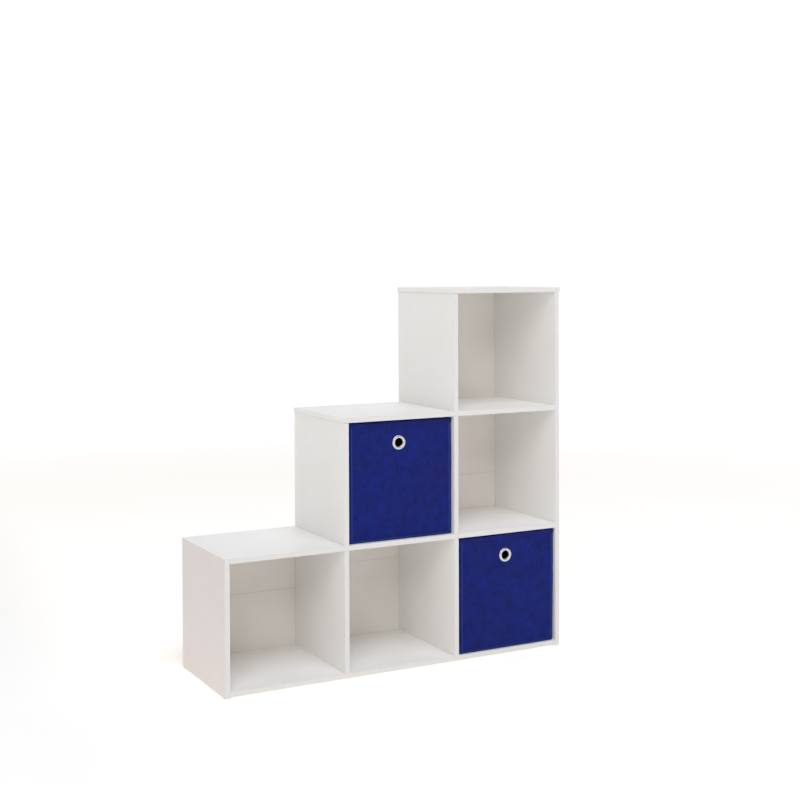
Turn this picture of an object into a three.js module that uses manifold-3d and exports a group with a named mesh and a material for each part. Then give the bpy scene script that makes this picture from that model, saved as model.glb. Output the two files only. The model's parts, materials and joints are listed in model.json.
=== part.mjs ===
// Staircase bookshelf: six cubbies in three steps, two of them holding fabric boxes.
// Millimetres. X runs to the right, Y from the front to the back, Z up.
import * as THREE from "three";
import { mergeVertices } from "three/addons/utils/BufferGeometryUtils.js";
import Module from "manifold-3d";

const wasm = await Module();
wasm.setup();

// The carcass
const board = 12; // thickness of every panel
const cubbyWidth = 289; // clear, between two uprights
const cubbyHeight = 292; // clear, between two shelves
const carcassDepth = 295; // front edge to rear edge of a panel
const endOverhang = 2.5; // how far the two stair tops stand out past the sides
const bottomRaise = 4; // underside of the bottom panel above the ground
const edgeEase = 0.5; // bevel along the banded edges of a panel
const hairline = 0.05; // gap between two panels that are drawn tight

// The back
const backThickness = 3;
const backInset = 1.5; // from the outline of the carcass
const backJoint = 1; // gap between two back boards
const backSeamDrop = 4.5; // seam of the tower's back below the top of the upper shelf
const lowStepLeaves = 2; // folded leaves of the back of the lowest step
const mainLeaves = 3; // folded leaves of the back of the two tall columns
const tapeWidth = 30;
const tapeThickness = 0.3;

// Cam fittings: a cam in one panel draws a bolt that is screwed into the other
const camRadius = 6;
const camHeight = 9.4;
const camRecess = 0.2; // face of the cam below the face of the panel
const camReach = 24; // centre of the cam to the end of its panel
const camInset = 37; // from the front and rear edges of the panel
const crossLength = 7.5;
const crossWidth = 1.4;
const crossDepth = 2;
const boltHeadRadius = 3.2;
const boltHeadLength = 3;
const boltShankRadius = 2;
const boltCollarRadius = 3.4;
const boltCollarLength = 1.6;
const boltThreadRadius = 2.6;
const boltThreadLength = 8.4;
const boltTipRadius = 1.6;
const boltTipLength = 1.2;
const fitGap = 0.3; // round a fitting in its bore

// Wooden pegs, glued into one panel and entering the next
const pegRadius = 3;
const pegRoot = 20; // glued length
const pegShort = 8; // into the face of a panel
const pegLong = 20; // into the edge of the upright above, past the shelf between
const pegInset = 72; // from the front and rear edges of the panel
const pegGap = 0.2;

// Glides nailed under the two sides
const glideHeight = 2.5;
const glideRadius = 5;
const glideRound = 0.8;
const glideInset = 12; // from the front and rear edges of the side
const nailRadius = 0.9;
const nailLength = 12;
const nailPoint = 2;

// Fabric boxes, each made to fill a cubby
const boxSideGap = 3.5; // between a box and the upright on either side
const boxHeadroom = 4; // between the rim of a box and the shelf above it
const boxDepthEase = 15; // how much shallower than the carcass a box is
const boxCorner = 6; // radius of the upright corners
const bottomFold = 3; // radius of the fold along the bottom
const upperBoxSetback = 9; // front of the box behind the shelf edge
const lowerBoxSetback = 4.5;
const restGap = 0.3; // under a box, and under its base insert
const fabric = 0.8;
const cardboard = 2;
const sewnGap = 0.3; // round a cardboard in its pocket, and under the hem
const pocketMargin = 6.5; // seam at the upright corners, outside to pocket
const pocketFloor = 4; // seam along the bottom, outside to pocket
const hemHeight = 10;
const insertThickness = 4;
const insertEase = 1;
const insertClearance = 3; // between the base insert and the lining

// Eyelet that serves as the pull
const eyeletDrop = 51.7; // centre below the rim of the box
const eyeletShift = 6; // centre to the left of the middle of the front
const eyeletRadius = 17.5;
const eyeletHoleRadius = 10.7;
const eyeletRise = 1.9;
const eyeletSheet = 0.6;
const flareRadius = 13.6;
const washerRadius = 16.5;
const washerThickness = 0.6;
const eyeletGap = 0.2;

const cutOverrun = 5; // how far a cutter runs past the face that it opens
const weldDistance = 0.001; // vertices closer than this are one

// Facets round one turn
const camSides = 16;
const boreSides = 8;
const eyeletSides = 24;
const glideSides = 16;
const cornerSteps = 3;
const domeSteps = 4;

const finishes = {
  melamine: new THREE.MeshStandardMaterial({ color: 0xe9e6e2, roughness: 0.45, metalness: 0 }),
  hardboard: new THREE.MeshStandardMaterial({ color: 0xdedad3, roughness: 0.6, metalness: 0 }),
  tape: new THREE.MeshStandardMaterial({ color: 0xd9d4c8, roughness: 0.8, metalness: 0 }),
  zinc: new THREE.MeshStandardMaterial({ color: 0xa9abad, roughness: 0.4, metalness: 1 }),
  glide: new THREE.MeshStandardMaterial({ color: 0xbdb9b2, roughness: 0.5, metalness: 0 }),
  fabric: new THREE.MeshStandardMaterial({ color: 0x1e2676, roughness: 0.95, metalness: 0 }),
  cardboard: new THREE.MeshStandardMaterial({ color: 0x9a9488, roughness: 0.9, metalness: 0 }),
  eyelet: new THREE.MeshStandardMaterial({ color: 0xc9cacc, roughness: 0.25, metalness: 1 }),
};

const unitX = new THREE.Vector3(1, 0, 0);
const unitY = new THREE.Vector3(0, 1, 0);
const unitZ = new THREE.Vector3(0, 0, 1);
const axes = [unitX, unitY, unitZ];

// A closed geometry as a solid that can be cut and joined
function solidFrom(geometry) {
  const bare = geometry.clone();
  bare.deleteAttribute("normal");
  bare.deleteAttribute("uv");
  const merged = mergeVertices(bare, weldDistance);
  return new wasm.Manifold(new wasm.Mesh({
    numProp: 3,
    vertProperties: new Float32Array(merged.attributes.position.array),
    triVerts: new Uint32Array(merged.index.array),
  }));
}

// The faces of a finished solid as a geometry
function geometryFrom(solid) {
  const faces = solid.getMesh();
  const geometry = new THREE.BufferGeometry();
  geometry.setAttribute("position", new THREE.BufferAttribute(new Float32Array(faces.vertProperties), 3));
  geometry.setIndex(new THREE.BufferAttribute(new Uint32Array(faces.triVerts), 1));
  const flat = geometry.toNonIndexed();
  flat.computeVertexNormals();
  return flat;
}

// A plain block between two corners
function block(low, high) {
  const size = high.clone().sub(low);
  const geometry = new THREE.BoxGeometry(size.x, size.y, size.z);
  return geometry.translate(low.x + size.x / 2, low.y + size.y / 2, low.z + size.z / 2);
}

function rectangle(x0, y0, x1, y1) {
  return new THREE.Shape([
    new THREE.Vector2(x0, y0),
    new THREE.Vector2(x1, y0),
    new THREE.Vector2(x1, y1),
    new THREE.Vector2(x0, y1),
  ]);
}

// A rectangle with round corners, drawn in from a width and a depth by an inset
function roundedRectangle(width, depth, inset, radius) {
  const [x0, y0, x1, y1] = [inset, inset, width - inset, depth - inset];
  const shape = new THREE.Shape();
  shape.absarc(x1 - radius, y0 + radius, radius, -Math.PI / 2, 0);
  shape.absarc(x1 - radius, y1 - radius, radius, 0, Math.PI / 2);
  shape.absarc(x0 + radius, y1 - radius, radius, Math.PI / 2, Math.PI);
  shape.absarc(x0 + radius, y0 + radius, radius, Math.PI, 1.5 * Math.PI);
  return shape;
}

// A straight prism over a shape, from one height to another
function prism(shape, bottom, top) {
  const settings = { depth: top - bottom, bevelEnabled: false, curveSegments: cornerSteps };
  return new THREE.ExtrudeGeometry(shape, settings).translate(0, 0, bottom);
}

// A board with its low corner at the origin and both its faces eased all round
function easedBoard(size, ease) {
  const thin = size.indexOf(Math.min(...size));
  const wide = (thin + 1) % 3;
  const long = (thin + 2) % 3;
  const outline = rectangle(ease, ease, size[wide] - ease, size[long] - ease);
  const geometry = new THREE.ExtrudeGeometry(outline, {
    depth: size[thin] - 2 * ease,
    bevelSize: ease,
    bevelThickness: ease,
    bevelSegments: 1,
  });
  geometry.translate(0, 0, ease);
  return geometry.applyMatrix4(new THREE.Matrix4().makeBasis(axes[wide], axes[long], axes[thin]));
}

// A round bar from one point to another
function bar(radius, start, end, sides) {
  const along = end.clone().sub(start);
  const middle = start.clone().add(end).multiplyScalar(0.5);
  const turn = new THREE.Quaternion().setFromUnitVectors(unitY, along.clone().normalize());
  const geometry = new THREE.CylinderGeometry(radius, radius, along.length(), sides);
  return geometry.applyQuaternion(turn).translate(middle.x, middle.y, middle.z);
}

// The cutter for a round hole: its flats, not its corners, lie on the radius
function bore(radius, start, end, sides) {
  return bar(radius / Math.cos(Math.PI / sides), start, end, sides);
}

// A turned piece about Y, from radius and height pairs that run anticlockwise
function turned(profile, sides) {
  const points = profile.map(([radius, height]) => new THREE.Vector2(radius, height));
  return new THREE.LatheGeometry(points, sides);
}

function namedMesh(name, solid, finish) {
  const mesh = new THREE.Mesh(geometryFrom(solid), finishes[finish]);
  mesh.name = name;
  return mesh;
}

// Left face of an upright, and underside of a level, counted from the lower left corner
const uprightAt = (index) => index * (board + cubbyWidth);
const levelAt = (index) => bottomRaise + index * (board + cubbyHeight);

const backFace = carcassDepth + hairline; // front of the back boards
const tapeFace = backFace + backThickness + hairline; // front of the joining tapes

const overallWidth = uprightAt(3) + board + endOverhang;
const overallDepth = tapeFace + tapeThickness;

// Panels. Cutters and pegs are collected in the carcass's own coordinates.
const panels = new Map();

function addPanel(name, low, high) {
  const size = high.map((value, axis) => value - low[axis]);
  const at = new THREE.Vector3(...low);
  panels.set(name, { at, solid: solidFrom(easedBoard(size, edgeEase)) });
}

// Divides a panel's faces at places along X, in rising order, and leaves it whole
function seamPanel(name, places) {
  const panel = panels.get(name);
  const lengths = [];
  for (const place of places) {
    const [beyond, before] = panel.solid.splitByPlane([1, 0, 0], place - panel.at.x);
    lengths.push(before);
    panel.solid = beyond;
  }
  lengths.push(panel.solid);
  panel.solid = wasm.Manifold.union(lengths.map((length) => length.asOriginal()));
}

function inPanel(panel, geometry) {
  return solidFrom(geometry.clone().translate(-panel.at.x, -panel.at.y, -panel.at.z));
}

function cutPanel(name, geometry) {
  const panel = panels.get(name);
  panel.solid = panel.solid.subtract(inPanel(panel, geometry));
}

function joinToPanel(name, geometry) {
  const panel = panels.get(name);
  panel.solid = panel.solid.add(inPanel(panel, geometry));
}

// A level from the inner face of the left upright, or from past it, to a right end. Seams at the
// faces of the uprights give each cubby a floor of its own.
function addLevel(name, index, left, right) {
  addPanel(name, [left, 0, levelAt(index)], [right, carcassDepth, levelAt(index) + board]);
  const faces = [1, 2].flatMap((upright) => [uprightAt(upright), uprightAt(upright) + board]);
  seamPanel(name, faces.filter((x) => x > left && x < right));
}

function addUpright(name, index, bottom, top) {
  addPanel(name, [uprightAt(index), 0, bottom], [uprightAt(index) + board, carcassDepth, top]);
}

// An upright that stands in one row of cubbies
function addDivider(name, index, row) {
  addUpright(name, index, levelAt(row) + board + hairline, levelAt(row + 1) - hairline);
}

function addCarcass() {
  const innerLeft = uprightAt(0) + board + hairline;
  const innerRight = uprightAt(3) - hairline;
  addLevel("bottom_panel", 0, innerLeft, innerRight);
  addLevel("lower_shelf", 1, innerLeft, innerRight);
  addLevel("upper_shelf", 2, uprightAt(1) - endOverhang, innerRight);
  addLevel("top_panel", 3, uprightAt(2) - endOverhang, uprightAt(3) + board + endOverhang);
  addUpright("left_side", 0, glideHeight + hairline, levelAt(1) + board);
  addUpright("right_side", 3, glideHeight + hairline, levelAt(3) - hairline);
  addDivider("lower_left_divider", 1, 0);
  addDivider("lower_right_divider", 2, 0);
  addDivider("step_side", 1, 1);
  addDivider("middle_divider", 2, 1);
  addDivider("tower_side", 2, 2);
}

// Cam fittings. Seen from the fitting, X points to the other panel and Z out of the cam's face.
function boltProfile() {
  const thread = camReach + boltThreadLength;
  return [
    [0, -boltHeadLength / 2],
    [boltHeadRadius, -boltHeadLength / 2],
    [boltHeadRadius, boltHeadLength / 2],
    [boltShankRadius, boltHeadLength / 2],
    [boltShankRadius, camReach - boltCollarLength],
    [boltCollarRadius, camReach - boltCollarLength],
    [boltCollarRadius, camReach],
    [boltThreadRadius, camReach],
    [boltThreadRadius, thread - boltTipLength],
    [boltTipRadius, thread],
    [0, thread],
  ];
}

function camFitting() {
  const face = new THREE.Vector3(0, 0, -camRecess);
  const foot = new THREE.Vector3(0, 0, -camRecess - camHeight);
  const half = crossWidth / 2;
  const long = crossLength / 2;
  const slotFloor = -camRecess - crossDepth;
  const slotAlong = block(new THREE.Vector3(-long, -half, slotFloor), new THREE.Vector3(long, half, cutOverrun));
  const slotAcross = block(new THREE.Vector3(-half, -long, slotFloor), new THREE.Vector3(half, long, cutOverrun));
  const bolt = turned(boltProfile(), boreSides).rotateZ(-Math.PI / 2).translate(0, 0, -board / 2);
  return solidFrom(bar(camRadius, foot, face, camSides))
    .subtract(solidFrom(slotAlong))
    .subtract(solidFrom(slotAcross))
    .add(solidFrom(bolt));
}

function camCutters() {
  const mouth = new THREE.Vector3(0, 0, cutOverrun);
  const floor = new THREE.Vector3(0, 0, -camRecess - camHeight - fitGap);
  const axisDepth = -board / 2;
  const centre = new THREE.Vector3(0, 0, axisDepth);
  const end = new THREE.Vector3(camReach + cutOverrun, 0, axisDepth);
  const pilotStart = new THREE.Vector3(camReach - cutOverrun, 0, axisDepth);
  const pilotEnd = new THREE.Vector3(camReach + boltThreadLength + fitGap, 0, axisDepth);
  return {
    own: [
      bore(camRadius + fitGap, floor, mouth, camSides),
      bore(boltCollarRadius + fitGap, centre, end, boreSides),
    ],
    other: [bore(boltThreadRadius + fitGap, pilotStart, pilotEnd, boreSides)],
  };
}

const fitting = camFitting();
const fittingCutters = camCutters();

// Two fittings, front and rear, that draw a panel's end against another panel
function addCamPair(root, name, camPanel, boltPanel, x, z, out, pull) {
  for (const [place, y] of [["front", camInset], ["rear", carcassDepth - camInset]]) {
    const turn = new THREE.Matrix4().makeBasis(pull, out.clone().cross(pull), out);
    const seat = turn.clone().setPosition(x, y, z);
    for (const cutter of fittingCutters.own) cutPanel(camPanel, cutter.clone().applyMatrix4(seat));
    for (const cutter of fittingCutters.other) cutPanel(boltPanel, cutter.clone().applyMatrix4(seat));
    const mesh = namedMesh(`cam_${name}_${place}`, fitting, "zinc");
    mesh.position.set(x, y, z);
    mesh.quaternion.setFromRotationMatrix(turn);
    root.add(mesh);
  }
}

// Two pegs, front and rear, that stand out of a panel by a reach and enter those named
function addPegPair(carrier, entered, x, z, direction, reach) {
  for (const y of [pegInset, carcassDepth - pegInset]) {
    const face = new THREE.Vector3(x, y, z);
    const point = (distance) => face.clone().addScaledVector(direction, distance);
    joinToPanel(carrier, bar(pegRadius, point(-pegRoot), point(reach), boreSides));
    for (const name of entered) {
      cutPanel(name, bore(pegRadius + pegGap, point(-cutOverrun), point(reach + pegGap), boreSides));
    }
  }
}

// A level's end against the inner face of a side: cams below, pegs beside them
function joinLevelToSide(root, name, level, side, index, direction) {
  const end = direction.x < 0 ? uprightAt(0) + board : uprightAt(3);
  const down = unitZ.clone().negate();
  const mouth = end - direction.x * camReach;
  addCamPair(root, name, level, side, mouth, levelAt(index), down, direction);
  addPegPair(level, [side], end, levelAt(index) + board / 2, direction, pegShort);
}

// An upright's top against the underside of a level: cams on one face, pegs beside them
function joinUprightToLevel(root, name, upright, level, index, row, out) {
  const face = out.x > 0 ? uprightAt(index) + board : uprightAt(index);
  const top = levelAt(row);
  addCamPair(root, name, upright, level, face, top - camReach, out, unitZ);
  addPegPair(upright, [level], uprightAt(index) + board / 2, top, unitZ, pegShort);
}

// Pegs that locate a divider on the bottom panel, and an upright above it through a shelf
function addDividerPegs() {
  const up = unitZ;
  const down = unitZ.clone().negate();
  const centre = (index) => uprightAt(index) + board / 2;
  const through = board + pegLong;
  addPegPair("lower_left_divider", ["bottom_panel"], centre(1), levelAt(0) + board, down, pegShort);
  addPegPair("lower_right_divider", ["bottom_panel"], centre(2), levelAt(0) + board, down, pegShort);
  addPegPair("lower_left_divider", ["lower_shelf", "step_side"], centre(1), levelAt(1), up, through);
  addPegPair("lower_right_divider", ["lower_shelf", "middle_divider"], centre(2), levelAt(1), up, through);
  addPegPair("middle_divider", ["upper_shelf", "tower_side"], centre(2), levelAt(2), up, through);
}

function addFittings(root) {
  const left = unitX.clone().negate();
  joinLevelToSide(root, "bottom_left", "bottom_panel", "left_side", 0, left);
  joinLevelToSide(root, "bottom_right", "bottom_panel", "right_side", 0, unitX);
  joinLevelToSide(root, "lower_shelf_left", "lower_shelf", "left_side", 1, left);
  joinLevelToSide(root, "lower_shelf_right", "lower_shelf", "right_side", 1, unitX);
  joinLevelToSide(root, "upper_shelf_right", "upper_shelf", "right_side", 2, unitX);
  joinUprightToLevel(root, "step_side", "step_side", "upper_shelf", 1, 2, unitX);
  joinUprightToLevel(root, "tower_side", "tower_side", "top_panel", 2, 3, unitX);
  joinUprightToLevel(root, "right_side", "right_side", "top_panel", 3, 3, left);
}

// Glides: a plastic disc with its nail, driven up into the side
function glideSolid() {
  const top = glideHeight + nailLength;
  const profile = [
    [0, 0],
    [glideRadius - glideRound, 0],
    [glideRadius, glideRound],
    [glideRadius, glideHeight],
    [nailRadius, glideHeight],
    [nailRadius, top - nailPoint],
    [0, top],
  ];
  return solidFrom(turned(profile, glideSides).rotateX(Math.PI / 2));
}

function addGlides(root) {
  const shape = glideSolid();
  for (const [side, index] of [["left", 0], ["right", 3]]) {
    for (const [place, y] of [["front", glideInset], ["rear", carcassDepth - glideInset]]) {
      const x = uprightAt(index) + board / 2;
      const below = new THREE.Vector3(x, y, 0);
      const above = new THREE.Vector3(x, y, glideHeight + nailLength + pegGap);
      cutPanel(`${side}_side`, bore(nailRadius + pegGap, below, above, boreSides));
      const mesh = namedMesh(`glide_${side}_${place}`, shape, "glide");
      mesh.position.copy(below);
      root.add(mesh);
    }
  }
}

// Back boards, nailed on the rear edges. Each sheet folds into leaves, with tape over the folds.
function addBackSheet(root, name, left, right, bottom, top, leaves) {
  const leafHeight = (top - bottom - (leaves - 1) * backJoint) / leaves;
  for (let leaf = 0; leaf < leaves; leaf += 1) {
    const low = bottom + leaf * (leafHeight + backJoint);
    const size = new THREE.Vector3(right - left, backThickness, leafHeight);
    const label = leaves === 1 ? name : `${name}_${leaf + 1}`;
    const mesh = namedMesh(label, solidFrom(block(new THREE.Vector3(), size)), "hardboard");
    mesh.position.set(left, backFace, low);
    root.add(mesh);
    if (leaf === 0) continue;
    const tape = new THREE.Vector3(right - left, tapeThickness, tapeWidth);
    const strip = namedMesh(`${name}_tape_${leaf}`, solidFrom(block(new THREE.Vector3(), tape)), "tape");
    const fold = low - backJoint / 2;
    strip.position.set(left, tapeFace, fold - tapeWidth / 2);
    root.add(strip);
  }
}

function addBack(root) {
  const bottom = levelAt(0) + backInset;
  const split = uprightAt(1) + board / 2;
  const seam = levelAt(2) + board - backSeamDrop;
  const left = uprightAt(0) + backInset;
  const right = uprightAt(3) + board - backInset;
  const half = backJoint / 2;
  addBackSheet(root, "step_back", left, split - half, bottom, levelAt(1) + board - backInset, lowStepLeaves);
  addBackSheet(root, "main_back", split + half, right, bottom, seam - half, mainLeaves);
  addBackSheet(root, "tower_back", uprightAt(2) + backInset, right, seam + half, levelAt(3) + board - backInset, 1);
}

// Fabric boxes. Everything in one box is counted from its own lower left front corner.
const boxWidth = cubbyWidth - 2 * boxSideGap;
const boxDepth = carcassDepth - boxDepthEase;
const boxHeight = cubbyHeight - boxHeadroom - restGap;
const boxWall = 2 * fabric + cardboard + 2 * sewnGap;
const hemStep = fabric + sewnGap; // the cover stands this far inside the hem
const coverHeight = boxHeight - fabric - sewnGap;
const liningInset = hemStep + boxWall; // outside of the box to the face of the lining
const pocketInset = hemStep + fabric;
const pocketDepth = cardboard + 2 * sewnGap;

const boxPrism = (inset, radius, bottom, top) =>
  solidFrom(prism(roundedRectangle(boxWidth, boxDepth, inset, radius), bottom, top));

// The four pockets: the low and high corners of each in plan
function pocketPlans() {
  const near = pocketInset;
  const far = pocketInset + pocketDepth;
  const margin = hemStep + pocketMargin;
  return {
    front: [margin, near, boxWidth - margin, far],
    back: [margin, boxDepth - far, boxWidth - margin, boxDepth - near],
    left: [near, margin, far, boxDepth - margin],
    right: [boxWidth - far, margin, boxWidth - near, boxDepth - margin],
  };
}

function eyeletCentre() {
  return new THREE.Vector3(boxWidth / 2 - eyeletShift, hemStep, boxHeight - eyeletDrop);
}

// The hole for the eyelet's barrel, through everything in the front wall
function eyeletBore() {
  const centre = eyeletCentre();
  const front = centre.clone().setY(-cutOverrun);
  const rear = centre.clone().setY(liningInset + cutOverrun);
  return solidFrom(bore(eyeletHoleRadius + eyeletSheet + eyeletGap, front, rear, eyeletSides));
}

// The sewn cover: outer cloth and lining in one, with a pocket in each wall
function coverSolid() {
  const outline = roundedRectangle(boxWidth, boxDepth, hemStep + bottomFold, boxCorner - bottomFold);
  const shell = new THREE.ExtrudeGeometry(outline, {
    depth: boxHeight,
    bevelSize: bottomFold,
    bevelThickness: bottomFold,
    bevelSegments: 2,
    curveSegments: cornerSteps,
  }).translate(0, 0, bottomFold);
  const aboveLow = new THREE.Vector3(-cutOverrun, -cutOverrun, coverHeight);
  const aboveHigh = new THREE.Vector3(boxWidth, boxDepth, boxHeight + 2 * bottomFold).addScalar(cutOverrun);
  let cover = solidFrom(shell).subtract(solidFrom(block(aboveLow, aboveHigh)));
  cover = cover.subtract(boxPrism(liningInset, fabric, fabric, boxHeight));
  for (const [x0, y0, x1, y1] of Object.values(pocketPlans())) {
    const low = new THREE.Vector3(x0, y0, pocketFloor);
    const high = new THREE.Vector3(x1, y1, boxHeight);
    cover = cover.subtract(solidFrom(block(low, high)));
  }
  return cover.subtract(eyeletBore());
}

// A cardboard in its pocket, clear of the cloth all round
function addStiffeners(box, prefix) {
  for (const [wall, [x0, y0, x1, y1]] of Object.entries(pocketPlans())) {
    const low = new THREE.Vector3(x0, y0, pocketFloor).addScalar(sewnGap);
    const high = new THREE.Vector3(x1 - sewnGap, y1 - sewnGap, coverHeight - sewnGap);
    let card = solidFrom(block(low, high));
    if (wall === "front") card = card.subtract(eyeletBore());
    box.add(namedMesh(`${prefix}_${wall}_card`, card, "cardboard"));
  }
}

// The hem: a strip of cloth folded over the rim, outside to inside
function hemSolid() {
  const bottom = boxHeight - hemHeight;
  const lip = boxHeight - fabric;
  const grooveInside = liningInset + sewnGap;
  const below = bottom - cutOverrun;
  const outside = boxPrism(0, boxCorner + fabric, bottom, boxHeight);
  const groove = boxPrism(fabric, boxCorner, below, lip).subtract(
    boxPrism(grooveInside, fabric, below, lip + cutOverrun),
  );
  const opening = boxPrism(grooveInside + fabric, fabric, below, boxHeight + cutOverrun);
  return outside.subtract(groove).subtract(opening);
}

function insertSolid() {
  const inset = liningInset + insertClearance;
  const size = [boxWidth - 2 * inset, boxDepth - 2 * inset, insertThickness];
  return solidFrom(easedBoard(size, insertEase).translate(inset, inset, 0));
}

// The eyelet: a domed ring in front, a barrel through the wall and a flare behind the washer
function eyeletSolid() {
  const dome = (inset) => {
    const halfWidth = (eyeletRadius - eyeletHoleRadius) / 2 - inset;
    const middle = (eyeletRadius + eyeletHoleRadius) / 2;
    return Array.from({ length: domeSteps + 1 }, (_, step) => {
      const angle = (Math.PI * step) / domeSteps;
      return [middle + halfWidth * Math.cos(angle), -eyeletGap - (eyeletRise - inset) * Math.sin(angle)];
    });
  };
  const flare = boxWall + 2 * eyeletGap + washerThickness;
  const barrel = eyeletHoleRadius + eyeletSheet;
  const outer = dome(0);
  const inner = dome(eyeletSheet).reverse();
  const profile = [
    ...outer,
    [eyeletHoleRadius, flare + eyeletSheet],
    [flareRadius, flare + eyeletSheet],
    [flareRadius, flare],
    [barrel, flare],
    ...inner,
    outer[0],
  ].reverse();
  return solidFrom(turned(profile, eyeletSides));
}

function washerSolid() {
  const near = boxWall + eyeletGap;
  const far = near + washerThickness;
  const inside = eyeletHoleRadius + eyeletSheet + eyeletGap;
  const profile = [[inside, near], [washerRadius, near], [washerRadius, far], [inside, far], [inside, near]];
  return solidFrom(turned(profile, eyeletSides));
}

function addFabricBox(root, prefix, index, row, setback) {
  const box = new THREE.Group();
  box.position.set(uprightAt(index) + board + boxSideGap, setback, levelAt(row) + board + restGap);
  box.add(namedMesh(`${prefix}_cover`, coverSolid(), "fabric"));
  addStiffeners(box, prefix);
  box.add(namedMesh(`${prefix}_hem`, hemSolid(), "fabric"));
  const insert = namedMesh(`${prefix}_base_insert`, insertSolid(), "fabric");
  insert.position.z = fabric + restGap;
  box.add(insert);
  for (const [name, solid] of [["eyelet", eyeletSolid()], ["eyelet_washer", washerSolid()]]) {
    const mesh = namedMesh(`${prefix}_${name}`, solid, "eyelet");
    mesh.position.copy(eyeletCentre());
    box.add(mesh);
  }
  root.add(box);
}

const bookshelf = new THREE.Group();
bookshelf.position.set(-overallWidth / 2, -overallDepth / 2, 0);
addCarcass();
addFittings(bookshelf);
addDividerPegs();
addGlides(bookshelf);
for (const [name, panel] of panels) {
  const mesh = namedMesh(name, panel.solid, "melamine");
  mesh.position.copy(panel.at);
  bookshelf.add(mesh);
}
addBack(bookshelf);
addFabricBox(bookshelf, "upper_box", 1, 1, upperBoxSetback);
addFabricBox(bookshelf, "lower_box", 2, 0, lowerBoxSetback);

export default bookshelf;
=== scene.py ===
import json
import math

import bmesh
import bpy
from mathutils import Euler, Matrix, Vector, noise


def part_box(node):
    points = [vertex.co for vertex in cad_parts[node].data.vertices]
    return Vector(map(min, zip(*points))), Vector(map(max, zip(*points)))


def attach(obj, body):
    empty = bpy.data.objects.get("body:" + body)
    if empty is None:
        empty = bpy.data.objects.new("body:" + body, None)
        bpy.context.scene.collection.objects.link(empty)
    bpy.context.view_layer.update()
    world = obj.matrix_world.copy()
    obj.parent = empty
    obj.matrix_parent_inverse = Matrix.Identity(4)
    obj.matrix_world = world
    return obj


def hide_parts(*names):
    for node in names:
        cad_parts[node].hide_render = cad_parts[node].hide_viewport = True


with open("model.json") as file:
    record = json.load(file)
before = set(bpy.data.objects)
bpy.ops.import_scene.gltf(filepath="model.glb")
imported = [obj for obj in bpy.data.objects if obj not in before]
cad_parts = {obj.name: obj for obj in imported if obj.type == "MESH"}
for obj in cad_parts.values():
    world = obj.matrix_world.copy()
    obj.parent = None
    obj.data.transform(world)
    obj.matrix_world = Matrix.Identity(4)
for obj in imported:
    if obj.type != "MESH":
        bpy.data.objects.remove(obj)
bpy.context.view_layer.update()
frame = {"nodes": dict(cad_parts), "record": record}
scene = bpy.context.scene
mm = 0.001
nodes = frame["nodes"]
rackLow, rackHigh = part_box("bottom_panel")
frontY, rearY = rackLow.y, rackHigh.y  # front and rear edges of every panel
squareTo = 0.9  # a face whose normal has this share of an axis is square to it


# a wire from a socket, so that shader sums are written as sums
class Wire:
    def __init__(self, bench, socket):
        self.bench = bench
        self.socket = socket

    def sum(self, operation, first, second=None):
        values = {0: first} if second is None else {0: first, 1: second}
        return self.bench.node("ShaderNodeMath", {"operation": operation}, values)

    def __add__(self, other):
        return self.sum("ADD", self, other)

    def __radd__(self, other):
        return self.sum("ADD", other, self)

    def __sub__(self, other):
        return self.sum("SUBTRACT", self, other)

    def __rsub__(self, other):
        return self.sum("SUBTRACT", other, self)

    def __mul__(self, other):
        return self.sum("MULTIPLY", self, other)

    def __rmul__(self, other):
        return self.sum("MULTIPLY", other, self)

    def __gt__(self, other):
        return self.sum("GREATER_THAN", self, other)

    def __lt__(self, other):
        return self.sum("LESS_THAN", self, other)

    def __abs__(self):
        return self.sum("ABSOLUTE", self)

    def sine(self):
        return self.sum("SINE", self)

    def larger(self, other):
        return self.sum("MAXIMUM", self, other)

    # 0 below low, 1 above high, smooth between
    def between(self, low, high):
        settings = {"interpolation_type": "SMOOTHSTEP", "clamp": True}
        values = {"Value": self, "From Min": low, "From Max": high, "To Min": 0.0, "To Max": 1.0}
        return self.bench.node("ShaderNodeMapRange", settings, values)


# a bench adds the nodes of one tree
class Bench:
    def __init__(self, tree):
        self.tree = tree

    def node(self, kind, settings=None, values=None, output=0):
        made = self.tree.nodes.new(kind)
        for key, value in (settings or {}).items():
            setattr(made, key, value)
        for key, value in (values or {}).items():
            self.feed(made.inputs[key], value)
        return Wire(self, made.outputs[output]) if len(made.outputs) else made

    def feed(self, socket, value):
        if isinstance(value, Wire):
            self.tree.links.new(value.socket, socket)
        else:
            socket.default_value = value

    def mix(self, factor, first, second):
        values = {0: factor, 6: first, 7: second}
        return self.node("ShaderNodeMix", {"data_type": "RGBA"}, values, 2)

    def vector(self, operation, values, output=0):
        return self.node("ShaderNodeVectorMath", {"operation": operation}, values, output)

    def parts(self, vector):
        split = self.node("ShaderNodeSeparateXYZ", None, {0: vector}).socket.node
        return [Wire(self, socket) for socket in split.outputs]


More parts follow.
